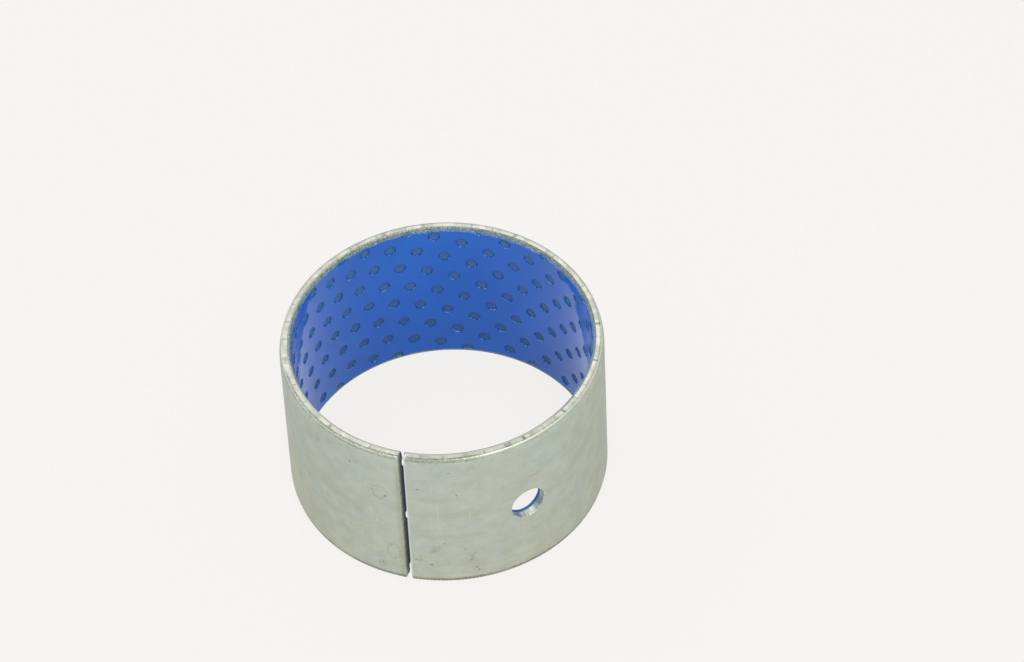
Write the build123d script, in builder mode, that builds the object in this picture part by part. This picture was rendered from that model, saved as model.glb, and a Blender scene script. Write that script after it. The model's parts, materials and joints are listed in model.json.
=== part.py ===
"""Wrapped composite plain bush.

A three-layer strip is rolled into a ring with a straight butt seam: a plated steel backing outside,
a porous bronze interlayer, and an acetal lining inside with a pattern of pressed grease indents.
Origin on the bore axis at the lower end face, +Z along the axis, seam at -Y.
"""

from build123d import *

import math
import os

os.makedirs("parts", exist_ok=True)

# Driving dimensions, in millimetres and degrees
bore_diameter = 65.0
bush_length = 40.0

steel_thickness = 1.7
bronze_thickness = 0.4
lining_thickness = 0.4

outer_chamfer_depth = 0.42
outer_chamfer_length = 1.6
lining_bevel_length = 0.9

oil_hole_diameter = 8.0
oil_hole_edge_break = 0.2
oil_hole_angle = 45.0

seam_gap_outside = 1.25
seam_gap_inside = 0.3
seam_relief_width = 0.9
seam_relief_length = 5.5
seam_nick_heights = (1.9, 19.0, 36.1)
seam_nick_depth = 0.3
seam_nick_length = 2.6
seam_nick_floor_length = 1.6
seam_nick_skin = 0.1

indent_mouth_diameter = 2.6
indent_floor_diameter = 1.9
indent_depth = 0.33
indent_sides = 6
indent_step_round = 2.0
indent_step_up = 2.14
first_indent_angle = 197.55
first_indent_below_end = 2.31
indent_clear_of_seam = 1.0

cut_margin = 0.5

# Radii of the layer boundaries, from the bore outwards
bore_radius = bore_diameter / 2
lining_outer_radius = bore_radius + lining_thickness
bronze_outer_radius = lining_outer_radius + bronze_thickness
outer_radius = bronze_outer_radius + steel_thickness

mid_height = bush_length / 2
seam_direction = -90.0
seam_section = Plane(origin=(0, 0, 0), x_dir=(0, -1, 0), z_dir=(-1, 0, 0))


def radial_plane(angle, radius, height):
    """Plane on the bush wall whose normal points straight out from the axis."""
    outward = Vector(1, 0, 0).rotate(Axis.Z, angle)
    sideways = Vector(0, 1, 0).rotate(Axis.Z, angle)
    return Plane(outward * radius + Vector(0, 0, height), x_dir=sideways, z_dir=outward)


# Cutter for the seam: a V-shaped gap that is widest on the outside, relieved at both ends, with
# nicks on one side where the lining and bronze broke away as the strip was sheared
seam_depth_start = -(bore_radius - cut_margin)
seam_depth_end = -(outer_radius + cut_margin)
seam_flank_slope = (seam_gap_outside - seam_gap_inside) / 2 / (outer_radius - bore_radius)
seam_end_half_width = seam_gap_outside / 2 + seam_flank_slope * cut_margin
relief_overrun = seam_relief_width / 2 * (1 + cut_margin / seam_relief_length)
nick_reach = seam_gap_inside / 2 + seam_nick_depth

with BuildPart() as seam_cutter:
    with BuildSketch(Plane.XY.offset(-cut_margin)):
        with BuildLine():
            Polyline(
                (-seam_gap_inside / 2, seam_depth_start),
                (seam_gap_inside / 2, seam_depth_start),
                (seam_gap_inside / 2, -bore_radius),
                (seam_end_half_width, seam_depth_end),
                (-seam_end_half_width, seam_depth_end),
                (-seam_gap_inside / 2, -bore_radius),
                close=True,
            )
        make_face()
    extrude(amount=bush_length + 2 * cut_margin)
    with BuildSketch(Plane.XZ.offset(bore_radius - cut_margin)):
        for end_height, inward in ((0, 1), (bush_length, -1)):
            with BuildLine():
                Polyline(
                    (-relief_overrun, end_height - inward * cut_margin),
                    (relief_overrun, end_height - inward * cut_margin),
                    (0, end_height + inward * seam_relief_length),
                    close=True,
                )
            make_face()
    extrude(amount=outer_radius - bore_radius + 2 * cut_margin)
    with BuildSketch(Plane.XZ.offset(bore_radius - cut_margin)):
        for nick_height in seam_nick_heights:
            with BuildLine():
                Polyline(
                    (0, nick_height - seam_nick_length / 2),
                    (-nick_reach, nick_height - seam_nick_floor_length / 2),
                    (-nick_reach, nick_height + seam_nick_floor_length / 2),
                    (0, nick_height + seam_nick_length / 2),
                    close=True,
                )
            make_face()
    extrude(amount=cut_margin + lining_thickness + bronze_thickness - seam_nick_skin)

# Cutter for the oil hole
with BuildPart() as oil_hole_cutter:
    with BuildSketch(radial_plane(seam_direction + oil_hole_angle, bore_radius - 2 * cut_margin, mid_height)):
        Circle(oil_hole_diameter / 2)
    extrude(amount=outer_radius - bore_radius + 4 * cut_margin)

# Cutter for one grease indent: flat floor and sloping flank, pressed in from the bore
indent_flank_slope = (indent_mouth_diameter - indent_floor_diameter) / 2 / indent_depth
indent_overrun = indent_depth / 2
indent_overrun_radius = indent_mouth_diameter / 2 + indent_flank_slope * indent_overrun

with BuildPart() as indent_cutter:
    with BuildSketch(Plane.XY.offset(-indent_overrun)):
        RegularPolygon(indent_overrun_radius, indent_sides)
    with BuildSketch(Plane.XY.offset(indent_depth)):
        RegularPolygon(indent_floor_diameter / 2, indent_sides)
    loft(ruled=True)


def indent_places():
    """Places of the indents: a slanted lattice over the unrolled strip, clear of its seam edges."""
    strip_length = 2 * math.pi * bore_radius
    first_round = math.radians(first_indent_angle) * bore_radius
    first_up = bush_length - first_indent_below_end
    mouth_radius = indent_mouth_diameter / 2
    reach = math.ceil(strip_length / indent_step_round + bush_length / indent_step_up)
    places = []
    for column in range(-reach, reach + 1):
        for row in range(-reach, reach + 1):
            distance_round = first_round + (3 * column + row) * indent_step_round
            height = first_up + (column + 3 * row) * indent_step_up
            on_strip = indent_clear_of_seam < distance_round < strip_length - indent_clear_of_seam
            on_width = -mouth_radius < height < bush_length + mouth_radius
            if on_strip and on_width:
                angle = seam_direction + math.degrees(distance_round / bore_radius)
                places.append(radial_plane(angle, bore_radius, height).location)
    return places


def cut_strip_features():
    """Cut what goes through all the layers into the part that is being built."""
    add(seam_cutter.part, mode=Mode.SUBTRACT)
    add(oil_hole_cutter.part, mode=Mode.SUBTRACT)


# Steel backing: the outer chamfers are rolled shallow, and the oil hole's outer edge is broken
with BuildPart() as steel_backing:
    with BuildSketch(seam_section):
        with BuildLine():
            Polyline(
                (bronze_outer_radius, 0),
                (outer_radius - outer_chamfer_depth, 0),
                (outer_radius, outer_chamfer_length),
                (outer_radius, bush_length - outer_chamfer_length),
                (outer_radius - outer_chamfer_depth, bush_length),
                (bronze_outer_radius, bush_length),
                close=True,
            )
        make_face()
    revolve(axis=Axis.Z)
    cut_strip_features()
    oil_hole_mouth = radial_plane(seam_direction + oil_hole_angle, outer_radius, mid_height).origin
    oil_hole_rim = steel_backing.edges().sort_by_distance(oil_hole_mouth)[0]
    chamfer(oil_hole_rim, length=oil_hole_edge_break)
steel_backing.part.label = "steel_backing"

# Bronze interlayer: a plain tube between the steel and the lining
with BuildPart() as bronze_interlayer:
    with BuildSketch(seam_section):
        with Locations((lining_outer_radius, 0)):
            Rectangle(bronze_thickness, bush_length, align=Align.MIN)
    revolve(axis=Axis.Z)
    cut_strip_features()
bronze_interlayer.part.label = "bronze_interlayer"

# Polymer lining: the running surface, bevelled through at both mouths of the bore
with BuildPart() as polymer_lining:
    with BuildSketch(seam_section):
        with BuildLine():
            Polyline(
                (lining_outer_radius, 0),
                (lining_outer_radius, bush_length),
                (bore_radius, bush_length - lining_bevel_length),
                (bore_radius, lining_bevel_length),
                close=True,
            )
        make_face()
    revolve(axis=Axis.Z)
    with Locations(*indent_places()):
        add(indent_cutter.part, mode=Mode.SUBTRACT)
    cut_strip_features()
polymer_lining.part.label = "polymer_lining"

export_step(steel_backing.part, "parts/steel_backing.step")
export_step(bronze_interlayer.part, "parts/bronze_interlayer.step")
export_step(polymer_lining.part, "parts/polymer_lining.step")
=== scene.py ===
import json
import math

import bpy
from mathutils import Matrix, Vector
from mathutils.geometry import delaunay_2d_cdt


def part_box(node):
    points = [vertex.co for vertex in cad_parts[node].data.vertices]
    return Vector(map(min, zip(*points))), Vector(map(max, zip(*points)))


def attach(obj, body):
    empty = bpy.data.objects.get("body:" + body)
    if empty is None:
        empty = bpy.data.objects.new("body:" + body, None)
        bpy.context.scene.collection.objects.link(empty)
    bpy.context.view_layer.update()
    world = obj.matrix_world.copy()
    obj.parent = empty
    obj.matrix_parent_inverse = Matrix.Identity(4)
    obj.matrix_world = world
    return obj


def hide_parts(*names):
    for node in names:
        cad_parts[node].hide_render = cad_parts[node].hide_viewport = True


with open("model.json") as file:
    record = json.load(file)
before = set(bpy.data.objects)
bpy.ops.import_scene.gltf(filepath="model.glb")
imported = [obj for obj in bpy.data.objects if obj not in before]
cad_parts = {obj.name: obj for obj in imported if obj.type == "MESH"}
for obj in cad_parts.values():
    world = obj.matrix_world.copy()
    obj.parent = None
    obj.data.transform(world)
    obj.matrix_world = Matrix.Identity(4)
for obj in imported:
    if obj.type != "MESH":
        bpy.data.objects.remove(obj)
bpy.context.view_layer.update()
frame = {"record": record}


# ---------------------------------------------------------------------------------------------
# Steel backing. The outer strip of the bush is mild steel, plated a dull silver grey and rolled up
# cold into a ring. Its two sheared ends meet in an open butt seam, its outer edges are rolled to
# a shallow chamfer, and a round oil hole goes through it.
# ---------------------------------------------------------------------------------------------

MM = 0.001
MOUNTS = {mount["name"]: mount for mount in frame["record"]["mounts"]}
BORE_RADIUS = MOUNTS["bore"]["dims"]["r_mm"]
OUTER_RADIUS = MOUNTS["outside"]["dims"]["r_mm"]
HOLE_RADIUS = MOUNTS["oil_hole"]["dims"]["r_mm"]
LENGTH = round(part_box("steel_backing")[1][2] / MM, 3)
STEEL_THICKNESS = 1.7
STEEL_INNER_RADIUS = OUTER_RADIUS - STEEL_THICKNESS

# The seam is a V that is widest outside, and is relieved and rounded at both ends of the bush
SEAM_GAP_OUTSIDE = 1.25
SEAM_GAP_INSIDE = 0.3
SEAM_RELIEF_WIDTH = 0.9
SEAM_RELIEF_LENGTH = 5.5
STRIP_CORNER_RADIUS = 0.25
SEAM_EDGE_ROUNDING = 0.22
SEAM_SLOPE = (SEAM_GAP_OUTSIDE - SEAM_GAP_INSIDE) / 2 / (OUTER_RADIUS - BORE_RADIUS)

# Nicks on the far side of the seam, where the lining and bronze broke away under the shear
NICK_HEIGHTS = (1.9, 19.0, 36.1)
NICK_DEPTH = 0.3
NICK_LENGTH = 2.6
NICK_FLOOR_LENGTH = 1.6
NICK_OUTER_RADIUS = STEEL_INNER_RADIUS - 0.1

# The oil hole lies an eighth of a turn round from the seam, half way up
HOLE_TURN = math.radians(45.0)
HOLE_HEIGHT = LENGTH / 2

CHAMFER_DEPTH = 0.42
CHAMFER_LENGTH = 1.6
CHAMFER_SOFTNESS = 0.3
EDGE_ROUNDING = 0.28
HOLE_EDGE_ROUNDING = 0.2
SHARP_EDGE = math.radians(40.0)

# How finely the mesh is divided: columns round the strip, sides of the hole, rows on the plain back
# of a layer, and the shares of a rounded edge's size at which it has a row
COLUMNS = 256
HOLE_SIDES = 72
BACK_HEIGHTS = (8, 16, 24, 32)
ROUNDING_SHARES = (0.18, 0.45, 1.0)


def half_gap(radius, height):
    """Half the width of the seam at a radius and height, in mm."""
    from_end = min(height, LENGTH - height)
    plain = SEAM_GAP_INSIDE / 2 + SEAM_SLOPE * (radius - BORE_RADIUS)
    relief = SEAM_RELIEF_WIDTH / 2 * (1 - from_end / SEAM_RELIEF_LENGTH)
    into_corner = min(STRIP_CORNER_RADIUS, max(0.0, STRIP_CORNER_RADIUS - from_end))
    corner = STRIP_CORNER_RADIUS - math.sqrt(STRIP_CORNER_RADIUS ** 2 - into_corner ** 2)
    return max(plain, relief) + corner


def strip_edges(radius, height):
    """The turns, in radians from the middle of the seam, at which the strip begins and ends."""
    near = half_gap(radius, height)
    far = near
    if radius < NICK_OUTER_RADIUS:
        from_nick = min(abs(height - nick) for nick in NICK_HEIGHTS)
        share = (NICK_LENGTH / 2 - from_nick) / ((NICK_LENGTH - NICK_FLOOR_LENGTH) / 2)
        far = max(near, (SEAM_GAP_INSIDE / 2 + NICK_DEPTH) * min(1.0, share))
    return math.asin(near / radius), 2 * math.pi - math.asin(far / radius)


def levels(start, end, fine, step):
    """Heights from start to end: fine ones near both ends, and even ones between."""
    last_fine = max(fine)
    middle = end - start - 2 * last_fine
    count = max(1, round(middle / step))
    even = [start + last_fine + middle * i / count for i in range(count + 1)]
    low = [start + reach for reach in sorted(fine)[:-1]]
    high = [end - reach for reach in sorted(fine, reverse=True)[1:]]
    return low + even + high


def strip_outline(seam_heights):
    """The edge of the strip, as (kind, value, height) marks in order round it."""
    shares = [i / COLUMNS for i in range(COLUMNS + 1)]
    marks = [("low_end", share, 0.0) for share in shares]
    marks += [("far_seam", 1.0, height) for height in seam_heights]
    marks += [("high_end", share, LENGTH) for share in reversed(shares)]
    marks += [("near_seam", 0.0, height) for height in reversed(seam_heights)]
    return marks


def circle_points(size):
    """Points (sideways, up) round a circle of that radius about the oil hole, in mm."""
    angles = [2 * math.pi * i / HOLE_SIDES for i in range(HOLE_SIDES)]
    return [(size * math.cos(angle), size * math.sin(angle)) for angle in angles]


def hole_outline():
    """The edge of the oil hole, as marks in order round it. The value is the way sideways in mm."""
    return [("hole", sideways, HOLE_HEIGHT + up) for sideways, up in circle_points(HOLE_RADIUS)]


def place_mark(mark, radius):
    """The (turn, height) of a mark on the strip's edge, at a radius."""
    kind, value, height = mark
    if kind == "hole":
        return HOLE_TURN + math.asin(value / radius), height
    near, far = strip_edges(radius, height)
    return near + value * (far - near), height


def mark_of(turn, height, radius):
    """The mark that a point on the strip's edge stands for."""
    sideways = radius * math.sin(turn - HOLE_TURN)
    if turn < math.pi and math.hypot(sideways, height - HOLE_HEIGHT) < HOLE_RADIUS + 0.01:
        return "hole", sideways, height
    near, far = strip_edges(radius, height)
    return "edge", (turn - near) / (far - near), height


def hole_distance(turn, height, radius):
    """How far a point lies outside the oil hole's wall, in mm."""
    if abs(turn - HOLE_TURN) > 0.5:
        return LENGTH
    return math.hypot(radius * math.sin(turn - HOLE_TURN), height - HOLE_HEIGHT) - HOLE_RADIUS


def seam_distance(turn, height, radius):
    """How far a point lies from the seam's edge, in mm."""
    near, far = strip_edges(radius, height)
    return radius * min(turn - near, far - turn)


def rounding(distance, size):
    """How far a rounded edge of that size has dropped at a distance from the edge."""
    into_edge = min(size, max(0.0, size - distance))
    return size - math.sqrt(size ** 2 - into_edge ** 2)


def anticlockwise(flat, loop):
    """The loop of point numbers, turned round if it runs clockwise."""
    area = sum(flat[a].x * flat[b].y - flat[b].x * flat[a].y for a, b in zip(loop, loop[1:] + loop[:1]))
    return loop if area > 0 else loop[::-1]


def fill_outline(outline, hole, inside, radius, edges=()):
    """Triangles over the unrolled strip. Returns its points, its faces and the points' own numbers.

    Points are (turn, height), and edges are pairs of points inside that the triangles must follow.
    """
    flat = [Vector((turn * radius, height)) for turn, height in outline + hole + inside]
    first_inside = len(outline) + len(hole)
    outer_loop = anticlockwise(flat, list(range(len(outline))))
    hole_loop = anticlockwise(flat, list(range(len(outline), first_inside)))
    kept_edges = [(a + first_inside, b + first_inside) for a, b in edges]
    made = delaunay_2d_cdt(flat, kept_edges, [outer_loop, hole_loop], 0, 1e-7)
    points, faces, sources, owners = made[0], made[2], made[3], made[5]
    kept = [tuple(face) for face, owner in zip(faces, owners) if 0 in owner and 1 not in owner]
    used = sorted({index for face in kept for index in face})
    renumbered = {old: new for new, old in enumerate(used)}
    kept = [tuple(renumbered[index] for index in face) for face in kept]
    places = [(points[old].x / radius, points[old].y) for old in used]
    return places, kept, [min(sources[old], default=None) for old in used]


def fill_strip(seam_heights, radius, inside, edges=()):
    """Triangles over the whole strip at a radius, from its own edge to that of the oil hole."""
    outline = [place_mark(mark, radius) for mark in strip_outline(seam_heights)]
    hole = [place_mark(mark, radius) for mark in hole_outline()]
    return fill_outline(outline, hole, inside, radius, edges)


def hole_rings(radius, reaches):
    """Points in rings round the oil hole, each ring a way outside its wall."""
    spots = [spot for reach in reaches for spot in circle_points(HOLE_RADIUS + reach)]
    return [(HOLE_TURN + math.asin(sideways / radius), HOLE_HEIGHT + up) for sideways, up in spots]


def strip_grid(radius, heights, hole_clear, edge_rows=()):
    """Even points over the strip, with rows that follow the seam's edges, clear of the oil hole."""
    points = []
    edge_clear = max(edge_rows, default=0.0) + 0.05
    for height in heights:
        near, far = strip_edges(radius, height)
        for row in edge_rows:
            points.append((near + row / radius, height))
            points.append((far - row / radius, height))
        for i in range(1, COLUMNS):
            turn = near + i / COLUMNS * (far - near)
            clear_of_seam = seam_distance(turn, height, radius) > edge_clear
            if clear_of_seam and hole_distance(turn, height, radius) > hole_clear:
                points.append((turn, height))
    return points


def on_axis(turn, height, radius):
    """A point of the rolled strip in metres. The seam faces -Y."""
    return radius * math.sin(turn) * MM, -radius * math.cos(turn) * MM, height * MM


def rim_loops(faces):
    """Loops of point numbers round the free edges of a mesh, the longest first."""
    sides = {side for a, b, c in faces for side in ((a, b), (b, c), (c, a))}
    following = {start: end for start, end in sides if (end, start) not in sides}
    left = set(following)
    loops = []
    while left:
        loop = [min(left)]
        while following[loop[-1]] != loop[0]:
            loop.append(following[loop[-1]])
        left.difference_update(loop)
        loops.append(loop)
    return sorted(loops, key=len, reverse=True)


def roll_layer(name, face, face_radius, back_radius, wall_steps, face_inwards=False):
    """A closed layer of the strip: a face with its own shape, walls at its edges, and a plain back.

    face is what fill_strip gives, and face_radius gives the radius of the face at a point.
    """
    face_points, face_faces, _ = face
    verts = [on_axis(turn, height, face_radius(turn, height)) for turn, height in face_points]
    faces = [tuple(reversed(f)) if face_inwards else f for f in face_faces]

    back_loops = []
    for loop in rim_loops(faces):
        marks = []
        for turn, height in (face_points[index] for index in loop):
            radius = face_radius(turn, height)
            marks.append((mark_of(turn, height, radius), radius))
        ring = loop
        for step in range(1, wall_steps + 1):
            new_ring = []
            flat_ring = []
            for mark, start_radius in marks:
                radius = start_radius + (back_radius - start_radius) * (step / wall_steps)
                turn, height = place_mark(mark, radius)
                new_ring.append(len(verts))
                flat_ring.append((turn, height))
                verts.append(on_axis(turn, height, radius))
            for i, index in enumerate(ring):
                after = (i + 1) % len(ring)
                faces.append((ring[after], index, new_ring[i], new_ring[after]))
            ring = new_ring
        back_loops.append((ring, flat_ring))

    (outline_ring, outline), (hole_ring, hole) = back_loops
    rings = outline_ring + hole_ring
    inside = strip_grid(back_radius, BACK_HEIGHTS, hole_clear=1.0)
    back_points, back_faces, sources = fill_outline(outline, hole, inside, back_radius)
    numbers = []
    for (turn, height), source in zip(back_points, sources):
        if source < len(rings):
            numbers.append(rings[source])
        else:
            numbers.append(len(verts))
            verts.append(on_axis(turn, height, back_radius))
    for back_face in back_faces:
        corners = tuple(numbers[index] for index in back_face)
        faces.append(corners if face_inwards else corners[::-1])

    mesh = bpy.data.meshes.new(name)
    mesh.from_pydata(verts, [], faces)
    mesh.shade_smooth()
    mesh.set_sharp_from_angle(angle=SHARP_EDGE)
    piece = bpy.data.objects.new(name, mesh)
    bpy.context.scene.collection.objects.link(piece)
    return piece


def steel_radius(turn, height):
    """Radius of the steel's outer wall: rolled chamfers at both ends, and small rounded edges."""
    from_end = min(height, LENGTH - height)
    into_chamfer = CHAMFER_LENGTH - from_end
    rolled = (into_chamfer + math.hypot(into_chamfer, CHAMFER_SOFTNESS)) / 2
    drop = CHAMFER_DEPTH / CHAMFER_LENGTH * rolled
    drop += rounding(from_end, EDGE_ROUNDING)
    drop += rounding(seam_distance(turn, height, OUTER_RADIUS), SEAM_EDGE_ROUNDING)
    drop += rounding(hole_distance(turn, height, OUTER_RADIUS), HOLE_EDGE_ROUNDING)
    return OUTER_RADIUS - drop


edge_steps = [EDGE_ROUNDING * share for share in ROUNDING_SHARES]
seam_steps = [SEAM_EDGE_ROUNDING * share for share in ROUNDING_SHARES]
hole_steps = [HOLE_EDGE_ROUNDING * share for share in ROUNDING_SHARES]
end_steps = edge_steps + [0.4, 0.8, 1.1, 1.35, 1.6, 1.85, 2.1, 2.6]
steel_heights = levels(0, LENGTH, end_steps, step=1.0)
steel_points = strip_grid(OUTER_RADIUS, steel_heights, hole_clear=1.6, edge_rows=seam_steps)
steel_points += hole_rings(OUTER_RADIUS, hole_steps + [0.5, 1.0])
steel_face = fill_strip(steel_heights, OUTER_RADIUS, steel_points)
steel = roll_layer("steel_shell", steel_face, steel_radius, STEEL_INNER_RADIUS, wall_steps=4)
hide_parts("steel_backing")
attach(steel, "root")

# Plated steel: a dull zinc-grey wall with faint rolling lines and handling marks, bright faced ends
# with sheared ticks across them, and cut faces at the seam. Light and shade are painted on wall, edges and
# cuts.
PLATE_COOL = (0.495, 0.553, 0.500, 1.0)
PLATE_WARM = (0.535, 0.562, 0.470, 1.0)
PLATE_EDGE_TINT = (0.600, 0.610, 0.600, 1.0)
GRIME = (0.215, 0.215, 0.155, 1.0)
STAIN = (0.520, 0.530, 0.300, 1.0)
SCRATCHED = (0.640, 0.680, 0.610, 1.0)
CORNER_HIGHLIGHT = (0.740, 0.770, 0.700, 1.0)
CORNER_BROWN = (0.300, 0.290, 0.215, 1.0)
EDGE_GRIME = (0.150, 0.155, 0.125, 1.0)
EDGE_OLIVE = (0.210, 0.215, 0.130, 1.0)
EDGE_HIGHLIGHT = (0.780, 0.850, 0.870, 1.0)
FACED_BRIGHT = (0.800, 0.820, 0.755, 1.0)
FACED_MIDDLE = (0.560, 0.585, 0.510, 1.0)
FACED_DULL = (0.440, 0.460, 0.400, 1.0)
FACED_DARK = (0.200, 0.200, 0.165, 1.0)
CUT_OUTER = (0.560, 0.580, 0.450, 1.0)
CUT_INNER_SHADE = (0.250, 0.280, 0.290, 1.0)

# The sockets of a Mix node that hold colours
MIX_FIRST, MIX_SECOND, MIX_RESULT = 6, 7, 2


def add_node(tree, kind, **settings):
    node = tree.nodes.new(kind)
    for name, value in settings.items():
        setattr(node, name, value)
    return node


def feed(tree, socket, value):
    """Gives a socket a plain value, or links another socket to it."""
    if isinstance(value, bpy.types.NodeSocket):
        tree.links.new(value, socket)
    else:
        socket.default_value = value


def reckon(tree, operation, first, second=0.0):
    node = add_node(tree, "ShaderNodeMath", operation=operation)
    feed(tree, node.inputs[0], first)
    feed(tree, node.inputs[1], second)
    return node.outputs[0]


def plus(tree, total, *values):
    for value in values:
        total = reckon(tree, "ADD", total, value)
    return total


def times(tree, total, *values):
    for value in values:
        total = reckon(tree, "MULTIPLY", total, value)
    return total


def sum_of_squares(tree, first, second):
    return plus(tree, reckon(tree, "POWER", first, 2.0), reckon(tree, "POWER", second, 2.0))


def fade(tree, value, start, end, low=0.0, high=1.0):
    """low where the value is at start, and high where it is at end, with a smooth change between."""
    node = add_node(tree, "ShaderNodeMapRange", interpolation_type="SMOOTHSTEP")
    feed(tree, node.inputs["Value"], value)
    ascending = start < end
    node.inputs["From Min"].default_value = start if ascending else end
    node.inputs["From Max"].default_value = end if ascending else start
    node.inputs["To Min"].default_value = low if ascending else high
    node.inputs["To Max"].default_value = high if ascending else low
    return node.outputs["Result"]


def band(tree, value, rise, fall):
    """1 between a rise and a fall of the value, each given as its start and end, and 0 outside."""
    return times(tree, fade(tree, value, *rise), fade(tree, value, *reversed(fall)))


def blend(tree, share, first, second, way="MIX"):
    """A colour between two colours, or one laid over the other in the way that is named."""
    node = add_node(tree, "ShaderNodeMix", data_type="RGBA", blend_type=way)
    feed(tree, node.inputs["Factor"], share)
    feed(tree, node.inputs[MIX_FIRST], first)
    feed(tree, node.inputs[MIX_SECOND], second)
    return node.outputs[MIX_RESULT]


def shaded(tree, colour, shade):
    """The colour made darker or lighter all through by a shade of about 1."""
    return blend(tree, 1.0, colour, shade, "MULTIPLY")


def strip_place(tree):
    """Where a point lies on the strip in mm: way round from the seam, height, radius, and x and y."""
    spot = add_node(tree, "ShaderNodeTexCoord")
    in_mm = add_node(tree, "ShaderNodeVectorMath", operation="SCALE")
    tree.links.new(spot.outputs["Object"], in_mm.inputs[0])
    in_mm.inputs["Scale"].default_value = 1 / MM
    axes = add_node(tree, "ShaderNodeSeparateXYZ")
    tree.links.new(in_mm.outputs[0], axes.inputs[0])
    x, y, z = axes.outputs
    turn = reckon(tree, "ARCTAN2", times(tree, x, -1.0), y)
    way_round = times(tree, plus(tree, turn, math.pi), OUTER_RADIUS)
    radius = reckon(tree, "SQRT", sum_of_squares(tree, x, y))
    return {"round": way_round, "height": z, "radius": radius, "x": x, "y": y}


def new_finish(name):
    """A new material, its node tree, its shader, and where a point lies on the strip."""
    material = bpy.data.materials.new(name)
    material.use_nodes = True
    tree = material.node_tree
    return material, tree, tree.nodes["Principled BSDF"], strip_place(tree)


def grain(tree, place, scales, detail, roughness):
    """Noise from 0 to 1 over the strip, with a scale per mm round it, up it and through it."""
    spot = add_node(tree, "ShaderNodeCombineXYZ")
    for socket, key, scale in zip(spot.inputs, ("round", "height", "radius"), scales):
        tree.links.new(times(tree, place[key], scale), socket)
    noise = add_node(tree, "ShaderNodeTexNoise")
    tree.links.new(spot.outputs[0], noise.inputs["Vector"])
    noise.inputs["Scale"].default_value = 1.0
    noise.inputs["Detail"].default_value = detail
    noise.inputs["Roughness"].default_value = roughness
    return noise.outputs["Fac"]


def from_ends(tree, place):
    """Distance from the nearer end of the bush, in mm."""
    return reckon(tree, "MINIMUM", place["height"], reckon(tree, "SUBTRACT", LENGTH, place["height"]))


def facing(tree):
    """The way that the surface faces, as x, y and z from -1 to 1."""
    axes = add_node(tree, "ShaderNodeSeparateXYZ")
    tree.links.new(add_node(tree, "ShaderNodeTexCoord").outputs["Normal"], axes.inputs[0])
    return axes.outputs


def at_front(tree, place):
    """1 on the seam's side of the bush, and 0 on the rest of it."""
    return fade(tree, place["y"], -20.0, -30.0)


def by_seam(tree, place, outer, inner):
    """1 at the seam, within inner mm of its middle, and 0 further off than outer mm."""
    return times(tree, fade(tree, reckon(tree, "ABSOLUTE", place["x"]), outer, inner), at_front(tree, place))


def add_relief(tree, shader, height, depth):
    """Bump from a height of about 0 to 1, which stands for that depth in mm."""
    bump = add_node(tree, "ShaderNodeBump")
    tree.links.new(height, bump.inputs["Height"])
    bump.inputs["Strength"].default_value = 1.0
    bump.inputs["Distance"].default_value = depth * MM
    tree.links.new(bump.outputs[0], shader.inputs["Normal"])


def oval_reach(tree, place, turn, height, half_round, half_up, lean):
    """Squared distance from the middle of an oval mark on the wall, which is 1 at its edge."""
    across = reckon(tree, "SUBTRACT", place["round"], math.radians(turn % 360) * OUTER_RADIUS)
    up = reckon(tree, "SUBTRACT", place["height"], height)
    cosine, sine = math.cos(math.radians(lean)), math.sin(math.radians(lean))
    along = plus(tree, times(tree, across, cosine), times(tree, up, -sine))
    upright = plus(tree, times(tree, across, sine), times(tree, up, cosine))
    share_along = reckon(tree, "DIVIDE", along, half_round)
    return sum_of_squares(tree, share_along, reckon(tree, "DIVIDE", upright, half_up))


def all_marks(tree, place, marks, inner, outer):
    """The strongest of several oval marks, each solid inside inner and gone at outer."""
    strongest = 0.0
    for mark in marks:
        one = fade(tree, oval_reach(tree, place, *mark), outer, inner)
        strongest = reckon(tree, "MAXIMUM", one, strongest)
    return strongest


def hole_reach(tree, place):
    """Distance from the axis of the oil hole over the wall, in mm."""
    across = reckon(tree, "SUBTRACT", place["round"], HOLE_TURN * OUTER_RADIUS)
    up = reckon(tree, "SUBTRACT", place["height"], HOLE_HEIGHT)
    return reckon(tree, "SQRT", sum_of_squares(tree, across, up))


# Marks on the wall, each (degrees round from the seam, height, half width, half height, lean)
DARK_SPECKS = (
    (-19.8, 34.0, 0.22, 0.5, -25), (16.5, 36.1, 0.28, 0.22, 0), (5.3, 30.7, 0.4, 0.3, 0),
    (35.7, 28.2, 0.2, 0.2, 0), (18.8, 28.8, 0.2, 0.5, -20), (8.6, 6.0, 0.5, 0.35, 20),
    (3.1, 7.3, 0.3, 0.3, 0), (24.6, 4.4, 0.4, 0.3, 0), (25.3, 3.4, 0.22, 0.6, 10),
    (22.8, 7.1, 0.25, 0.4, 30), (13.6, 13.1, 0.3, 0.22, 0), (1.5, 14.4, 0.2, 0.3, 0),
    (20.8, 10.8, 0.2, 0.4, 30), (-9.3, 4.2, 0.35, 0.4, 0), (-6.6, 26.8, 0.3, 0.5, 0),
)
SOFT_SMUDGES = (
    (-35.0, 34.9, 0.9, 2.0, 0), (-42.6, 18.6, 0.6, 1.9, -22), (-29.3, 36.5, 1.4, 0.8, 0),
    (-32.0, 18.0, 0.5, 1.5, -10), (-15.5, 34.8, 2.6, 0.6, 5), (-9.5, 3.8, 1.6, 1.6, 0),
    (26.0, 37.1, 2.2, 0.22, 0), (47.0, 28.5, 1.8, 0.3, 0), (68.0, 27.7, 6.8, 0.3, 1),
    (10.0, 11.0, 1.0, 2.2, 35), (23.5, 8.5, 0.7, 2.6, 30), (5.0, 8.0, 0.8, 1.6, 20),
)
DARK_BANDS = (
    (18.0, 22.4, 11.0, 1.7, 0), (10.0, 27.4, 9.0, 1.1, 0), (16.0, 15.2, 10.0, 1.2, 0),
    (-28.0, 21.0, 9.0, 1.6, 4), (70.0, 24.0, 9.0, 2.6, -20),
)
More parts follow.
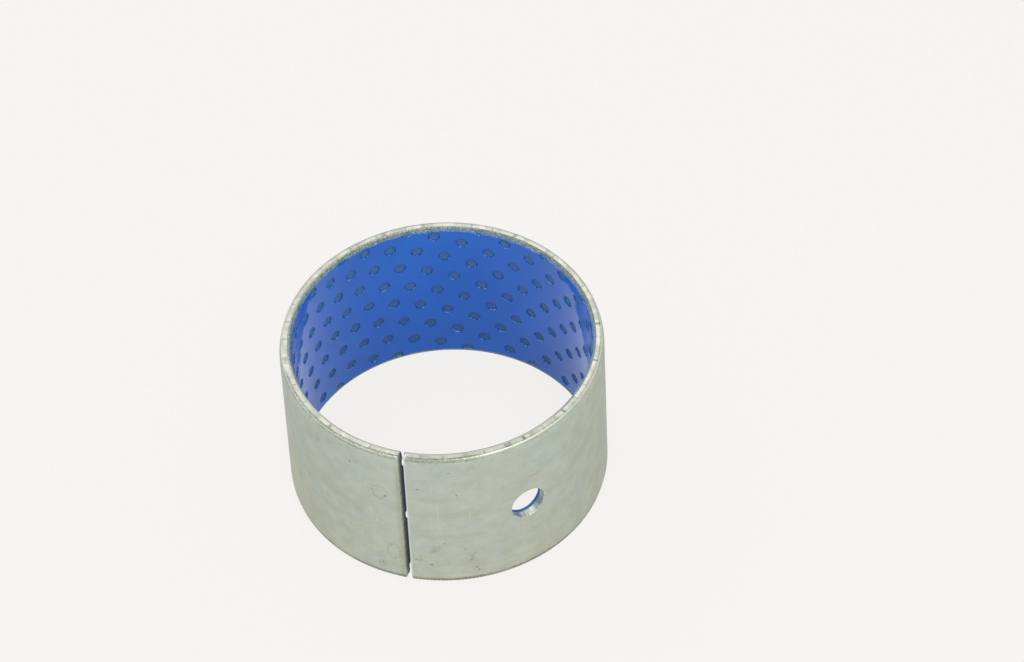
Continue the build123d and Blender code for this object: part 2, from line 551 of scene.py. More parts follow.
LIGHT_SCRATCHES = (
    (12.0, 20.9, 0.12, 4.8, 0), (23.2, 22.4, 0.12, 1.8, 0), (-10.5, 17.8, 0.2, 1.0, 30),
    (-12.6, 20.9, 0.15, 1.4, 0), (77.0, 35.2, 0.15, 1.2, 15),
)
YELLOW_STAINS = (
    (-2.4, 36.0, 0.9, 1.6, 0), (-1.8, 30.5, 0.45, 4.5, 0), (-1.9, 24.0, 0.4, 3.0, 0),
    (2.4, 36.8, 0.9, 1.2, 0), (-2.3, 12.0, 0.6, 3.0, 0), (-2.6, 6.5, 0.9, 1.8, 0),
    (1.4, 4.5, 0.6, 3.0, 0), (-9.0, 27.8, 1.3, 1.6, 0),
)
DRIED_RINGS = ((-8.7, 27.6, 1.75, 2.1, 0), (-4.9, 8.9, 1.5, 2.4, 0))

# Ticks across the faced ends where the shear tore, each (degrees round, half width in mm, strength)
SHEAR_TICKS = (
    (8.0, 1.6, 0.45), (15.0, 0.25, 0.7), (23.5, 0.9, 0.55), (30.0, 0.2, 0.5), (39.0, 1.1, 0.85),
    (45.5, 0.5, 0.9), (49.0, 0.8, 0.6), (54.0, 0.2, 0.7), (60.0, 0.25, 0.6), (64.5, 0.4, 0.95),
    (72.0, 0.2, 0.4), (79.0, 0.25, 0.5), (91.5, 0.35, 0.9), (97.0, 1.2, 0.35), (109.5, 0.35, 0.9),
    (118.0, 0.2, 0.4), (129.0, 0.25, 0.6), (136.0, 0.3, 0.5), (140.0, 0.2, 0.6), (148.0, 0.25, 0.6),
    (151.5, 0.2, 0.7), (166.0, 0.7, 0.6), (175.0, 0.2, 0.5), (183.0, 0.3, 0.6), (201.0, 0.25, 0.6),
    (208.0, 0.3, 0.5), (216.5, 0.8, 0.7), (227.5, 0.2, 0.6), (230.5, 0.3, 0.5), (245.0, 0.25, 0.5),
    (265.0, 0.3, 0.6), (274.0, 0.2, 0.5), (282.5, 0.3, 0.6), (292.0, 0.9, 0.6), (305.5, 0.3, 0.6),
    (315.0, 0.25, 0.5), (330.0, 0.4, 0.6), (348.0, 0.3, 0.5),
)


def wall_colour(tree, place, lines, mottle, clouds):
    """Broad cool and warm patches, faint rolling lines and a fine mottle, with painted light: lighter higher
    up and towards -x.
    """
    broad = grain(tree, place, (0.07, 0.09, 0.07), 4.0, 0.6)
    warmer_low = plus(tree, broad, fade(tree, place["height"], LENGTH, 0.0, -0.09, 0.09))
    wall = blend(tree, fade(tree, warmer_low, 0.3, 0.7), PLATE_COOL, PLATE_WARM)
    rolled = fade(tree, lines, 0.2, 0.8, -0.018, 0.018)
    cloudy = fade(tree, clouds, 0.25, 0.75, -0.08, 0.09)
    mottled = fade(tree, mottle, 0.2, 0.8, 0.97, 1.03)
    # Painted light: the wall is lighter higher up, and lighter towards -x on one side
    painted_light_high = fade(tree, place["height"], 0.0, LENGTH, -0.02, 0.04)
    painted_light_side = fade(tree, place["x"], -14.0, -33.0, 0.0, 0.07)
    return shaded(tree, wall, plus(tree, rolled, cloudy, mottled, painted_light_high, painted_light_side))


def handled(tree, place, wall, mottle, clouds, specks):
    """The wall with its faint dark bands, smudges, stains, specks, scratches and dried rings."""
    broken = fade(tree, grain(tree, place, (1.6, 1.6, 1.6), 3.0, 0.6), 0.38, 0.6)
    # Faint darker bands round the wall
    dull = all_marks(tree, place, DARK_BANDS, 0.0, 1.0)
    dull = times(tree, dull, fade(tree, clouds, 0.3, 0.6, 0.04, 0.13))
    smudges = times(tree, all_marks(tree, place, SOFT_SMUDGES, 0.0, 1.0), broken, 0.3)
    stains = times(tree, all_marks(tree, place, YELLOW_STAINS, 0.0, 1.1), broken, 0.45)
    scratches = times(tree, all_marks(tree, place, LIGHT_SCRATCHES, 0.2, 1.0), 0.6)
    wall = blend(tree, dull, wall, GRIME)
    wall = blend(tree, smudges, wall, GRIME)
    wall = blend(tree, stains, wall, STAIN)
    wall = blend(tree, times(tree, specks, 0.68), wall, GRIME)
    wall = blend(tree, scratches, wall, SCRATCHED)
    for ring in DRIED_RINGS:
        reach = plus(tree, oval_reach(tree, place, *ring), fade(tree, mottle, 0.2, 0.8, -0.45, 0.45))
        rim = times(tree, band(tree, reach, (0.45, 0.9), (1.0, 1.5)), broken, 0.4)
        wall = blend(tree, rim, wall, GRIME)
    return wall


def chamfered(tree, place, wall, ends, on_chamfer, scuff, seam_side):
    """The wall with scuffed chamfers: a painted highlight on the rounded corner by a broken dirty line, and
    another such line at the foot.
    """
    wall = blend(tree, times(tree, on_chamfer, fade(tree, scuff, 0.52, 0.7, 0.0, 0.6)), wall, SCRATCHED)
    wall = blend(tree, times(tree, on_chamfer, fade(tree, scuff, 0.46, 0.3, 0.0, 0.5)), wall, GRIME)
    ragged_end = plus(tree, ends, fade(tree, scuff, 0.25, 0.75, -0.1, 0.1))
    # Painted highlight along the rounded corner at each end, fainter by the seam
    corner = fade(tree, ragged_end, EDGE_ROUNDING + 0.12, EDGE_ROUNDING)
    corner = times(tree, corner, fade(tree, seam_side, 0.0, 1.0, 0.62, 0.1))
    wall = blend(tree, corner, wall, CORNER_HIGHLIGHT)

    # Just round from the seam, on the near side only, the corner is brown
    brown = times(tree, fade(tree, ragged_end, 0.7, 0.4), fade(tree, place["round"], 17.0, 11.0), 0.5)
    wall = blend(tree, brown, wall, CORNER_BROWN)

    # The broken dirty lines: olive next to the corner at both ends, and dark round the foot
    high_line = band(tree, ragged_end, (0.38, 0.54), (0.7, 0.9))
    high_line = times(tree, high_line, fade(tree, scuff, 0.68, 0.4, 0.12, 0.55))
    high_line = times(tree, high_line, fade(tree, seam_side, 0.0, 1.0, 0.4, 1.0))
    wall = blend(tree, high_line, wall, EDGE_OLIVE)
    patchy = grain(tree, place, (0.12, 0.0, 0.0), 3.0, 0.6)
    ragged_foot = plus(tree, place["height"], fade(tree, scuff, 0.25, 0.75, -0.35, 0.35))
    low_line = band(tree, ragged_foot, (0.45, 1.0), (1.1, 1.6))
    low_line = times(tree, low_line, fade(tree, patchy, 0.3, 0.6, 0.25, 0.75))
    return blend(tree, low_line, wall, EDGE_GRIME)


def shear_ticks(tree, place, uneven):
    """Strength of the ticks across the faced ends, with faint ones between the listed ones."""
    strongest = 0.0
    for degrees, half_width, strength in SHEAR_TICKS:
        off = reckon(tree, "SUBTRACT", place["round"], math.radians(degrees) * OUTER_RADIUS)
        off = reckon(tree, "ABSOLUTE", off)
        one = fade(tree, off, half_width + 0.12, half_width * 0.3, 0.0, strength)
        strongest = reckon(tree, "MAXIMUM", one, strongest)
    strongest = times(tree, strongest, fade(tree, uneven, 0.3, 0.6, 0.35, 1.0))
    faint = fade(tree, grain(tree, place, (2.6, 0.0, 0.12), 2.0, 0.5), 0.58, 0.72)
    return reckon(tree, "MAXIMUM", strongest, times(tree, faint, 0.28))


def faced_colour(tree, place, ticks):
    """The faced ends: scuffed bright steel, duller by the seam and to one side, with dark ticks."""
    scuffed = fade(tree, grain(tree, place, (0.4, 0.0, 0.25), 4.0, 0.65), 0.36, 0.62)
    faced = blend(tree, scuffed, FACED_BRIGHT, FACED_MIDDLE)
    duller = times(tree, fade(tree, place["y"], -9.0, -26.0), fade(tree, place["x"], 1.0, -1.0, 0.62, 0.2))
    faced = blend(tree, duller, faced, FACED_DULL)
    faced = shaded(tree, faced, fade(tree, place["x"], -4.0, -20.0, 1.0, 0.88))
    return blend(tree, ticks, faced, FACED_DARK)


def edged(tree, place, colour, ends, ragged_radius, scuff, seam_side):
    """Adds a broken line of painted shade round the brink of the faced end, and painted shade and a painted
    highlight along the seam's edges.
    """
    # Painted shade: a dark broken line round the outer brink of the faced end
    edge = OUTER_RADIUS - CHAMFER_DEPTH - EDGE_ROUNDING
    brink = band(tree, ragged_radius, (edge - 0.3, edge - 0.12), (edge + 0.08, edge + 0.2))
    brink = times(tree, brink, fade(tree, ends, 0.3, 0.15), fade(tree, scuff, 0.7, 0.4, 0.7, 1.0))
    brink = times(tree, brink, fade(tree, seam_side, 0.0, 1.0, 0.4, 1.0))
    colour = blend(tree, brink, colour, FACED_DARK)

    # Painted shade, olive, on the wall beside the far edge of the seam, and a painted highlight along the
    # near edge
    front = at_front(tree, place)
    far_edge_shade = times(tree, band(tree, place["x"], (-2.1, -0.8), (-0.1, 0.0)), front)
    far_edge_shade = times(tree, far_edge_shade, fade(tree, scuff, 0.2, 0.7, 1.0, 0.7))
    far_edge_shade = times(tree, far_edge_shade, fade(tree, place["height"], 38.5, 34.0, 0.08, 0.32))
    colour = blend(tree, far_edge_shade, colour, EDGE_OLIVE)
    near_edge_highlight = times(tree, band(tree, place["x"], (0.0, 0.1), (0.8, 1.05)), front, 0.7)
    return blend(tree, near_edge_highlight, colour, EDGE_HIGHLIGHT)


def plated_steel():
    """Dull plating with its marks on the wall, and bare metal where the strip was faced or cut."""
    material, tree, shader, place = new_finish("plated_steel")
    ends = from_ends(tree, place)
    lines = grain(tree, place, (0.03, 1.3, 0.2), 3.0, 0.6)
    mottle = grain(tree, place, (0.9, 1.1, 0.9), 4.0, 0.65)
    clouds = grain(tree, place, (0.25, 0.28, 0.25), 5.0, 0.72)
    scuff = grain(tree, place, (1.1, 2.2, 0.6), 4.0, 0.7)
    uneven = grain(tree, place, (1.2, 0.0, 0.9), 2.0, 0.6)
    streaks = grain(tree, place, (2.4, 2.4, 0.3), 3.0, 0.65)
    seam_side = times(tree, fade(tree, place["x"], 17.5, 14.5), fade(tree, place["y"], -13.0, -19.0))

    # The dull plated wall, and the bright faced ends
    specks = all_marks(tree, place, DARK_SPECKS, 0.2, 1.0)
    wall = wall_colour(tree, place, lines, mottle, clouds)
    wall = handled(tree, place, wall, mottle, clouds, specks)
    on_chamfer = fade(tree, ends, CHAMFER_LENGTH, CHAMFER_LENGTH - 0.6)
    wall = chamfered(tree, place, wall, ends, on_chamfer, scuff, seam_side)
    ticks = shear_ticks(tree, place, uneven)
    on_end = fade(tree, ends, 0.05, 0.01)
    colour = blend(tree, on_end, wall, faced_colour(tree, place, ticks))
    ragged_radius = plus(tree, place["radius"], fade(tree, uneven, 0.25, 0.75, -0.08, 0.08))
    colour = edged(tree, place, colour, ends, ragged_radius, scuff, seam_side)

    # Cut faces at the seam, with painted shade that deepens inwards, and the streaked wall of the oil hole
    sideways = fade(tree, reckon(tree, "ABSOLUTE", facing(tree)[0]), 0.55, 0.85)
    cut = times(tree, sideways, by_seam(tree, place, 1.4, 1.2))
    cut_shade = fade(tree, ragged_radius, OUTER_RADIUS - 0.3, STEEL_INNER_RADIUS + 0.4)
    cut_colour = blend(tree, cut_shade, CUT_OUTER, CUT_INNER_SHADE)
    cut_colour = shaded(tree, cut_colour, fade(tree, scuff, 0.25, 0.75, 0.55, 1.3))
    colour = blend(tree, cut, colour, cut_colour)
    in_hole = fade(tree, hole_reach(tree, place), HOLE_RADIUS + 0.32, HOLE_RADIUS + 0.2)
    streaked = shaded(tree, colour, fade(tree, streaks, 0.3, 0.7, 0.65, 1.25))
    colour = blend(tree, in_hole, colour, streaked)
    tree.links.new(colour, shader.inputs["Base Color"])

    bare_cut = reckon(tree, "MAXIMUM", cut, times(tree, in_hole, 0.5))
    tree.links.new(fade(tree, bare_cut, 0.0, 1.0, 0.85, 0.25), shader.inputs["Metallic"])
    shader.inputs["Specular Tint"].default_value = PLATE_EDGE_TINT
    rough = fade(tree, mottle, 0.2, 0.8, 0.40, 0.50)
    rough = plus(tree, rough, times(tree, on_end, -0.12), times(tree, in_hole, -0.12))
    tree.links.new(rough, shader.inputs["Roughness"])

    relief = plus(tree, times(tree, lines, 0.5), times(tree, mottle, 0.5), times(tree, specks, -0.6))
    relief = plus(tree, relief, times(tree, ticks, on_end, -1.5))
    relief = plus(tree, relief, times(tree, scuff, on_chamfer, 1.5), times(tree, streaks, in_hole, 2.0))
    add_relief(tree, shader, relief, 0.02)
    return material


steel.data.materials.append(plated_steel())


# ---------------------------------------------------------------------------------------------
# Bronze interlayer. Bronze powder is sintered onto the steel as a thin porous layer that keys the
# lining to it. It shows only on the cut edges of the strip, as a grey-brown speckled line.
# ---------------------------------------------------------------------------------------------

BRONZE_THICKNESS = 0.4
BRONZE_INNER_RADIUS = STEEL_INNER_RADIUS - BRONZE_THICKNESS


def with_nicks(heights):
    """The heights, with those of the corners of the seam's nicks put in their places."""
    reaches = (-NICK_LENGTH / 2, -NICK_FLOOR_LENGTH / 2, NICK_FLOOR_LENGTH / 2, NICK_LENGTH / 2)
    nicks = [nick + reach for nick in NICK_HEIGHTS for reach in reaches]
    clear = [height for height in heights if min(abs(height - nick) for nick in nicks) > 0.1]
    return sorted(clear + nicks)


def bronze_radius(turn, height):
    """The bronze lies plain against the steel."""
    return STEEL_INNER_RADIUS


bronze_heights = with_nicks(levels(0, LENGTH, [0.2, 0.4], step=3.0))
bronze_points = strip_grid(STEEL_INNER_RADIUS, BACK_HEIGHTS, hole_clear=1.0)
bronze_face = fill_strip(bronze_heights, STEEL_INNER_RADIUS, bronze_points)
bronze = roll_layer("bronze_sinter", bronze_face, bronze_radius, BRONZE_INNER_RADIUS, wall_steps=2)
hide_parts("bronze_interlayer")
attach(bronze, "root")

BRONZE_DARK = (0.150, 0.138, 0.090, 1.0)
BRONZE_GREY = (0.330, 0.350, 0.280, 1.0)
BRONZE_LIGHT = (0.640, 0.670, 0.570, 1.0)
BRONZE_SMEARED = (0.060, 0.130, 0.330, 1.0)
BRONZE_DRAGGED = (0.130, 0.270, 0.340, 1.0)
BRONZE_WIPED = (0.480, 0.500, 0.440, 1.0)
SEAM_SHADE = (0.060, 0.075, 0.085, 1.0)


def speckle(tree, place):
    """The colour of sheared porous bronze, grey and brown grains with bright metal, and its grains."""
    grains = grain(tree, place, (2.1, 2.1, 2.1), 3.0, 0.7)
    bright = grain(tree, place, (2.9, 2.9, 2.9), 2.0, 0.65)
    colour = blend(tree, fade(tree, grains, 0.36, 0.56), BRONZE_DARK, BRONZE_GREY)
    return blend(tree, fade(tree, bright, 0.5, 0.66), colour, BRONZE_LIGHT), grains


def porous_bronze():
    """Sheared porous bronze, with blue plastic dragged over it, darker to one side, and painted shade in the
    seam.
    """
    material, tree, shader, place = new_finish("porous_bronze")
    ends = from_ends(tree, place)
    colour, grains = speckle(tree, place)

    # Its end face is darker towards +x, has blue dragged over it on both, and is wiped pale in front
    colour = shaded(tree, colour, fade(tree, place["x"], -25.0, 22.0, 1.0, 0.55))
    dragged = fade(tree, reckon(tree, "ABSOLUTE", place["y"]), 17.0, 9.0, 0.0, 0.5)
    dragged = times(tree, dragged, fade(tree, place["x"], -5.0, -25.0, 1.0, 0.6))
    colour = blend(tree, dragged, colour, BRONZE_DRAGGED)
    wiped = times(tree, fade(tree, place["y"], -8.0, -20.0, 0.0, 0.8), fade(tree, ends, 0.1, 0.02))
    colour = blend(tree, wiped, colour, BRONZE_WIPED)

    # A dark line runs along its inner edge in front
    inner_edge = fade(tree, place["radius"], BRONZE_INNER_RADIUS + 0.16, BRONZE_INNER_RADIUS + 0.08)
    inner_edge = times(tree, inner_edge, fade(tree, place["y"], -8.0, -20.0, 0.0, 0.75))
    inner_edge = times(tree, inner_edge, fade(tree, grains, 0.3, 0.6, 1.0, 0.6))
    colour = blend(tree, inner_edge, colour, BRONZE_DARK)

    # In the oil hole blue plastic is smeared over the cut bronze, and in the seam it has painted shade
    smeared = plus(tree, place["radius"], fade(tree, grains, 0.25, 0.75, -0.2, 0.2))
    smeared = fade(tree, smeared, STEEL_INNER_RADIUS + 0.05, STEEL_INNER_RADIUS - 0.15)
    smeared = times(tree, smeared, fade(tree, ends, 0.1, 0.3))
    colour = blend(tree, smeared, colour, BRONZE_SMEARED)
    bronze_seam_shade = times(tree, by_seam(tree, place, 1.4, 1.2), fade(tree, ends, 0.02, 0.2), 0.8)
    colour = blend(tree, bronze_seam_shade, colour, SEAM_SHADE)
    tree.links.new(colour, shader.inputs["Base Color"])

    shader.inputs["Metallic"].default_value = 0.3
    tree.links.new(fade(tree, grains, 0.3, 0.7, 0.7, 0.45), shader.inputs["Roughness"])
    add_relief(tree, shader, grains, 0.12)
    return material


bronze.data.materials.append(porous_bronze())


# ---------------------------------------------------------------------------------------------
# Polymer lining. The running layer is blue acetal, rolled onto the bronze, with round grease
# indents pressed into it in slanting rows. Both mouths of the bore are bevelled through it.
# ---------------------------------------------------------------------------------------------

LINING_THICKNESS = BRONZE_INNER_RADIUS - BORE_RADIUS
BEVEL_LENGTH = 0.9
BEVEL_LAND = 0.03
INDENT_MOUTH_RADIUS = 1.3
INDENT_FLOOR_RADIUS = 0.95
INDENT_DEPTH = 0.33
INDENT_SOFTNESS = 0.12
INDENT_REACH = 0.3
INDENT_STEP_ROUND = 2.0
INDENT_STEP_UP = 2.14
INDENT_CLEAR_OF_SEAM = 1.0
FIRST_INDENT_TURN = math.radians(197.55)
FIRST_INDENT_HEIGHT = LENGTH - 2.31

# The mesh has rings round each indent, at these ways from its middle, and the plain grid stays
# further off. The indents are sorted into square cells, so that the nearest one is found fast.
INDENT_SIDES = 28
INDENT_RINGS = (1.55, 1.43, 1.35, 1.27, 1.19, 1.1, 1.01, 0.92, 0.82, 0.5)
GRID_CLEAR_OF_INDENTS = 1.75
CELL = 4


def indent_centres():
    """Places of the indents as (mm round the bore, height): a slanted lattice over the strip."""
    strip_length = 2 * math.pi * BORE_RADIUS
    first_round = FIRST_INDENT_TURN * BORE_RADIUS
    reach = math.ceil(strip_length / INDENT_STEP_ROUND + LENGTH / INDENT_STEP_UP)
    centres = []
    for column in range(-reach, reach + 1):
        for row in range(-reach, reach + 1):
            way_round = first_round + (3 * column + row) * INDENT_STEP_ROUND
            height = FIRST_INDENT_HEIGHT + (column + 3 * row) * INDENT_STEP_UP
            on_height = -INDENT_MOUTH_RADIUS < height < LENGTH + INDENT_MOUTH_RADIUS
            if INDENT_CLEAR_OF_SEAM < way_round < strip_length - INDENT_CLEAR_OF_SEAM and on_height:
                centres.append((way_round, height))
    return centres


centres = indent_centres()
centre_cells = {}
for centre in centres:
    cell = (round(centre[0] / CELL), round(centre[1] / CELL))
    centre_cells.setdefault(cell, []).append(centre)


def indent_distance(way_round, height):
    """Distance from a point of the bore to the middle of the nearest indent, in mm."""
    nearest = LENGTH
    cell_round, cell_up = round(way_round / CELL), round(height / CELL)
    for near_round in (cell_round - 1, cell_round, cell_round + 1):
        for near_up in (cell_up - 1, cell_up, cell_up + 1):
            for centre_round, centre_up in centre_cells.get((near_round, near_up), ()):
                nearest = min(nearest, math.hypot(way_round - centre_round, height - centre_up))
    return nearest


def indent_depth(distance):
    """Depth of an indent at a distance from its middle: flat floor, sloping flank, softened lips."""
    inward = INDENT_MOUTH_RADIUS - distance
    if inward < -INDENT_REACH:
        return 0.0
    slope = INDENT_DEPTH / (INDENT_MOUTH_RADIUS - INDENT_FLOOR_RADIUS)
    past_floor = INDENT_FLOOR_RADIUS - distance
    entering = (inward + math.hypot(inward, INDENT_SOFTNESS)) / 2
    levelling = (past_floor + math.hypot(past_floor, INDENT_SOFTNESS)) / 2
    return slope * (entering - levelling)


def lining_radius(turn, height):
    """Radius of the running surface: plain bore, bevelled mouths and pressed indents."""
    from_end = min(height, LENGTH - height)
    bevel = (LINING_THICKNESS - BEVEL_LAND) * max(0.0, 1 - from_end / BEVEL_LENGTH)
    depth = indent_depth(indent_distance(turn * BORE_RADIUS, height))
    return BORE_RADIUS + max(bevel, depth)


def indent_rings():
    """Rings round every indent, as (turn, height) points and the pairs of them that are edges."""
    points = []
    edges = []
    for way_round, height in centres:
        for reach in INDENT_RINGS:
            first = len(points)
            for i in range(INDENT_SIDES):
                angle = 2 * math.pi * i / INDENT_SIDES
                turn = (way_round + reach * math.cos(angle)) / BORE_RADIUS
                points.append((turn, height + reach * math.sin(angle)))
                edges.append((first + i, first + (i + 1) % INDENT_SIDES))
    return points, edges


bevel_steps = [0.15, 0.3, 0.5, 0.7, 0.8, 0.9, 1.0, 1.3]
lining_heights = with_nicks(levels(0, LENGTH, bevel_steps, step=0.8))
lining_points, ring_edges = indent_rings()
for turn, height in strip_grid(BORE_RADIUS, lining_heights, hole_clear=0.6):
    if indent_distance(turn * BORE_RADIUS, height) > GRID_CLEAR_OF_INDENTS:
        lining_points.append((turn, height))
lining_face = fill_strip(lining_heights, BORE_RADIUS, lining_points, ring_edges)
lining = roll_layer(
    "acetal_lining", lining_face, lining_radius, BRONZE_INNER_RADIUS, wall_steps=1, face_inwards=True
)
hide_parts("polymer_lining")
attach(lining, "root")

ACETAL_BLUE = (0.021, 0.172, 0.660, 1.0)
ACETAL_DEEP = (0.017, 0.149, 0.595, 1.0)
ACETAL_WHITENED = (0.180, 0.420, 0.850, 1.0)
FLANK_BLUE = (0.017, 0.088, 0.330, 1.0)
FLOOR_TEAL = (0.056, 0.195, 0.430, 1.0)
FLOOR_GREY = (0.092, 0.210, 0.355, 1.0)
LIP_GLINT = (0.340, 0.570, 0.930, 1.0)
SHEEN_TINT = (0.700, 1.000, 0.950, 1.0)
SEAM_NAVY_SHADE = (0.030, 0.050, 0.110, 1.0)
BEVEL_SHADE = (0.700, 0.870, 0.960, 1.0)
BEVEL_OLIVE = (0.770, 0.880, 0.800, 1.0)


def indented(tree, place, colour, in_indent, flanks, floors, grains, face_z):
    """Adds flanks with painted shade, thin floors that the bronze shows through, and painted glints on the
    lower lips.
    """
    floor_colour = blend(tree, fade(tree, grains, 0.35, 0.65), FLOOR_TEAL, FLOOR_GREY)
    # Painted shade: the floors are darker lower down in the bore
    floor_colour = shaded(tree, floor_colour, fade(tree, place["height"], 8.0, 26.0, 0.74, 1.0))
    # Painted shade on the flanks, strongest where they face up at the lower side of each indent
    flank_shade = times(tree, flanks, fade(tree, face_z, -0.5, 0.15, 0.2, 0.92))
    colour = blend(tree, flank_shade, colour, FLANK_BLUE)
    colour = blend(tree, floors, colour, floor_colour)
    # Painted glints: pale spots on the upward-facing lower lips of the indents
    on_lip = fade(tree, place["radius"], BORE_RADIUS + 0.13, BORE_RADIUS + 0.06)
    glint_spots = fade(tree, grain(tree, place, (2.2, 2.2, 2.2), 2.0, 0.6), 0.52, 0.6)
    lip = times(tree, fade(tree, face_z, 0.1, 0.3), on_lip, in_indent, glint_spots)
    return blend(tree, lip, colour, LIP_GLINT)


def bevelled(tree, place, colour, ends, fine, cut_bronze):
    """Adds the bevels, which cut through the lining into the bronze: blue at the foot, speckled above."""
    uneven = grain(tree, place, (1.4, 1.4, 1.4), 4.0, 0.75)
    ragged = plus(tree, ends, fade(tree, uneven, 0.3, 0.7, -0.22, 0.22))
    at_top = fade(tree, place["height"], LENGTH / 2, LENGTH / 2 + 5.0)
    whitened = fade(tree, fine, 0.42, 0.62, 0.0, 0.75)
    whitened = times(tree, fade(tree, ragged, 1.02, 0.9), whitened, at_top)
    colour = blend(tree, whitened, colour, ACETAL_WHITENED)
    olive_side = fade(tree, place["x"], -5.0, -25.0)
    cut_bronze = shaded(tree, cut_bronze, blend(tree, olive_side, BEVEL_SHADE, BEVEL_OLIVE))
    blue_drag = fade(tree, grain(tree, place, (1.1, 1.1, 1.1), 3.0, 0.7), 0.45, 0.7, 0.0, 0.6)
    blue_drag = times(tree, blue_drag, fade(tree, olive_side, 0.0, 1.0, 1.0, 0.75))
    cut_bronze = blend(tree, blue_drag, cut_bronze, ACETAL_BLUE)
    return blend(tree, fade(tree, ragged, 0.98, 0.62), colour, cut_bronze)


def blue_polymer():
    """Glossy blue plastic, dark in its indents, with painted shade in the seam, and cut to the bronze at its
    bevels.
    """
    material, tree, shader, place = new_finish("blue_polymer")
    ends = from_ends(tree, place)
    face_x, _, face_z = facing(tree)
    cut_bronze, grains = speckle(tree, place)
    broad = grain(tree, place, (0.06, 0.06, 0.06), 2.0, 0.5)
    fine = grain(tree, place, (1.5, 1.5, 1.5), 3.0, 0.6)
    colour = blend(tree, fade(tree, broad, 0.3, 0.7), ACETAL_BLUE, ACETAL_DEEP)
    # Painted shade: the plastic is darker lower down in the bore
    colour = shaded(tree, colour, fade(tree, place["height"], 4.0, 22.0, 0.84, 1.0))

    # Where the indents are, told by how far the surface lies from the bore, clear of the bevels
    clear_of_bevel = fade(tree, ends, BEVEL_LENGTH * 0.6, BEVEL_LENGTH * 1.05)
    inside_bore = fade(tree, place["radius"], BRONZE_INNER_RADIUS - 0.01, BRONZE_INNER_RADIUS - 0.03)
    in_indent = times(tree, clear_of_bevel, inside_bore)
    flanks = times(tree, fade(tree, place["radius"], BORE_RADIUS + 0.005, BORE_RADIUS + 0.06), in_indent)
    floors = times(tree, fade(tree, place["radius"], BORE_RADIUS + 0.12, BORE_RADIUS + 0.29), in_indent)
    colour = indented(tree, place, colour, in_indent, flanks, floors, grains, face_z)

    # Painted shade on the lining's cut faces in the seam
    sheared = fade(tree, reckon(tree, "ABSOLUTE", face_x), 0.4, 0.7)
    sheared = times(tree, by_seam(tree, place, 0.75, 0.55), sheared, 0.75)
    colour = blend(tree, sheared, colour, SEAM_NAVY_SHADE)
    colour = bevelled(tree, place, colour, ends, fine, cut_bronze)
    tree.links.new(colour, shader.inputs["Base Color"])

    on_bevel = fade(tree, ends, 1.0, 0.7)
    rough = fade(tree, fine, 0.3, 0.7, 0.06, 0.10)
    rough = plus(tree, rough, times(tree, on_bevel, 0.4), times(tree, flanks, 0.25))
    tree.links.new(rough, shader.inputs["Roughness"])
    tree.links.new(fade(tree, flanks, 0.0, 1.0, 0.3, 0.08), shader.inputs["Specular IOR Level"])
    shader.inputs["Specular Tint"].default_value = SHEEN_TINT

    # The rolled-on plastic is faintly wavy, and the floors of the indents and the bevels are grainy
    waves = grain(tree, place, (0.14, 0.10, 0.1), 2.0, 0.5)
    grainy = reckon(tree, "MAXIMUM", floors, on_bevel)
    relief = plus(tree, times(tree, grains, grainy, 1.2), times(tree, fine, 0.03), times(tree, waves, 0.8))
    add_relief(tree, shader, relief, 0.05)
    return material


lining.data.materials.append(blue_polymer())


# ---------------------------------------------------------------------------------------------
# The setting: a sheet of white card under an even sky, two broad soft lamps, and one camera in
# front of the seam that looks down into the bore.
# ---------------------------------------------------------------------------------------------

# Angles are in degrees, and the lengths of the setting are in metres
PAPER_WHITE = (0.909, 0.893, 0.860, 1.0)
SKY_TINT = (0.970, 0.980, 1.000, 1.0)
SKY_STRENGTH = 0.8
GLOW_SHARE = 0.92
SHEET_HALF = 4.0
LAMP_AIM = (0, 0, 0.02)
VIEW_AZIMUTH = -72.75
VIEW_ELEVATION = 49.127
VIEW_DISTANCE = 1.0604
VIEW_AIM = (0.00899, 0.02393, 0.01873)
VIEW_ROLL = -2.855
LENS_MM = 168.55
SENSOR_MM = 36.0
NEAREST_SEEN = 0.01


def on_sphere(azimuth, elevation, distance):
    flat = distance * math.cos(math.radians(elevation))
    across = flat * math.cos(math.radians(azimuth))
    along = flat * math.sin(math.radians(azimuth))
    return Vector((across, along, distance * math.sin(math.radians(elevation))))


def aim_at(thing, target):
    thing.rotation_euler = (Vector(target) - thing.location).to_track_quat("-Z", "Y").to_euler()


def add_lamp(name, azimuth, elevation, distance, size, power):
    lamp = bpy.data.lights.new(name, "AREA")
    lamp.shape = "DISK"
    lamp.size = size
    lamp.energy = power
    holder = bpy.data.objects.new(name, lamp)
    holder.location = on_sphere(azimuth, elevation, distance)
    aim_at(holder, LAMP_AIM)
    bpy.context.scene.collection.objects.link(holder)


def seen_ray(tree):
    """1 for the rays that see a surface: from the camera, a reflection or through glass."""
    path = add_node(tree, "ShaderNodeLightPath")
    either = reckon(tree, "MAXIMUM", path.outputs["Is Camera Ray"], path.outputs["Is Glossy Ray"])
    return reckon(tree, "MAXIMUM", either, path.outputs["Is Transmission Ray"])


def plain_shader(tree, kind, colour, strength=None):
    node = add_node(tree, kind)
    node.inputs["Color"].default_value = colour
    if strength is not None:
        node.inputs["Strength"].default_value = strength
    return node.outputs[0]


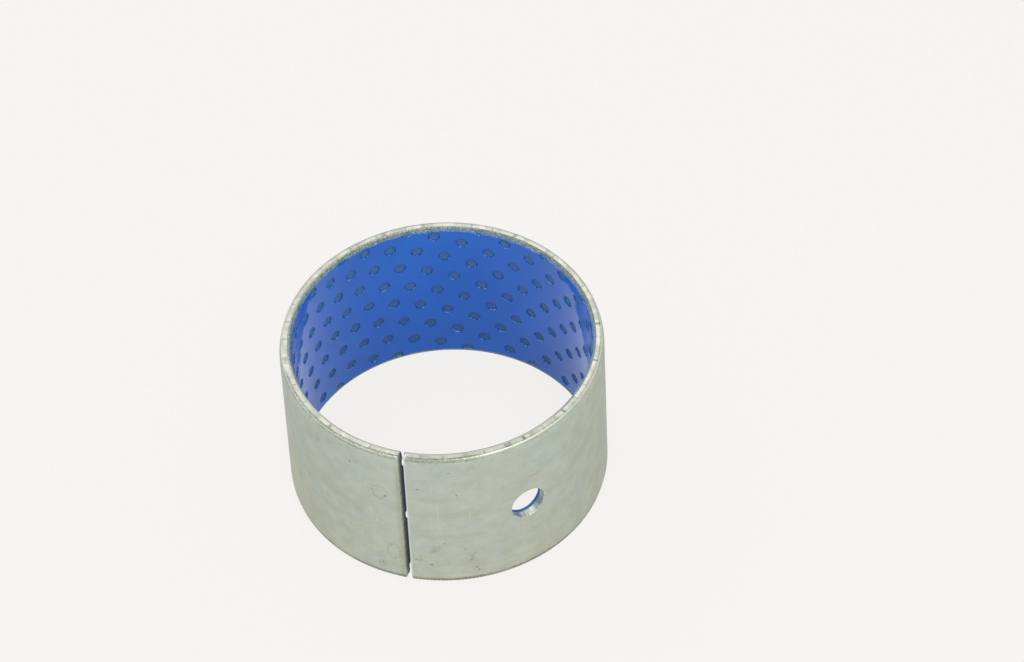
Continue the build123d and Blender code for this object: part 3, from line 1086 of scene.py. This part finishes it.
def mix_into(tree, output_kind, share, first, second):
    """Shows two shaders mixed, the second by its share, as a surface or a sky."""
    mix = add_node(tree, "ShaderNodeMixShader")
    tree.links.new(share, mix.inputs["Fac"])
    tree.links.new(first, mix.inputs[1])
    tree.links.new(second, mix.inputs[2])
    tree.links.new(mix.outputs[0], add_node(tree, output_kind).inputs["Surface"])


camera = bpy.data.objects.new("camera", bpy.data.cameras.new("camera"))
camera.location = on_sphere(VIEW_AZIMUTH, VIEW_ELEVATION, VIEW_DISTANCE)
aim_at(camera, VIEW_AIM)
camera.rotation_euler.rotate_axis("Z", math.radians(VIEW_ROLL))
camera.data.lens = LENS_MM
camera.data.sensor_width = SENSOR_MM
camera.data.clip_start = NEAREST_SEEN
bpy.context.scene.collection.objects.link(camera)
bpy.context.scene.camera = camera
bpy.context.scene.view_settings.view_transform = "Standard"

add_lamp("key_softbox", azimuth=-60, elevation=62, distance=1.3, size=0.9, power=7.0)
add_lamp("fill_softbox", azimuth=150, elevation=55, distance=1.5, size=1.1, power=4.0)

sky = bpy.data.worlds.new("even_sky")
sky.use_nodes = True
bpy.context.scene.world = sky
sky_tree = sky.node_tree
sky_tree.nodes.clear()
sky_light = plain_shader(sky_tree, "ShaderNodeBackground", SKY_TINT, SKY_STRENGTH)
sky_seen = plain_shader(sky_tree, "ShaderNodeBackground", PAPER_WHITE, 1.0)
mix_into(sky_tree, "ShaderNodeOutputWorld", seen_ray(sky_tree), sky_light, sky_seen)

card = bpy.data.materials.new("white_card")
card.use_nodes = True
card_tree = card.node_tree
card_tree.nodes.clear()
card_matt = plain_shader(card_tree, "ShaderNodeBsdfDiffuse", PAPER_WHITE)
card_glow = plain_shader(card_tree, "ShaderNodeEmission", PAPER_WHITE, 1.0)
card_share = times(card_tree, seen_ray(card_tree), GLOW_SHARE)
mix_into(card_tree, "ShaderNodeOutputMaterial", card_share, card_matt, card_glow)

corners = [(-1, -1, 0), (1, -1, 0), (1, 1, 0), (-1, 1, 0)]
sheet_mesh = bpy.data.meshes.new("card_sheet")
sheet_mesh.from_pydata([Vector(corner) * SHEET_HALF for corner in corners], [], [(0, 1, 2, 3)])
sheet_mesh.materials.append(card)
sheet = bpy.data.objects.new("card_sheet", sheet_mesh)
bpy.context.scene.collection.objects.link(sheet)
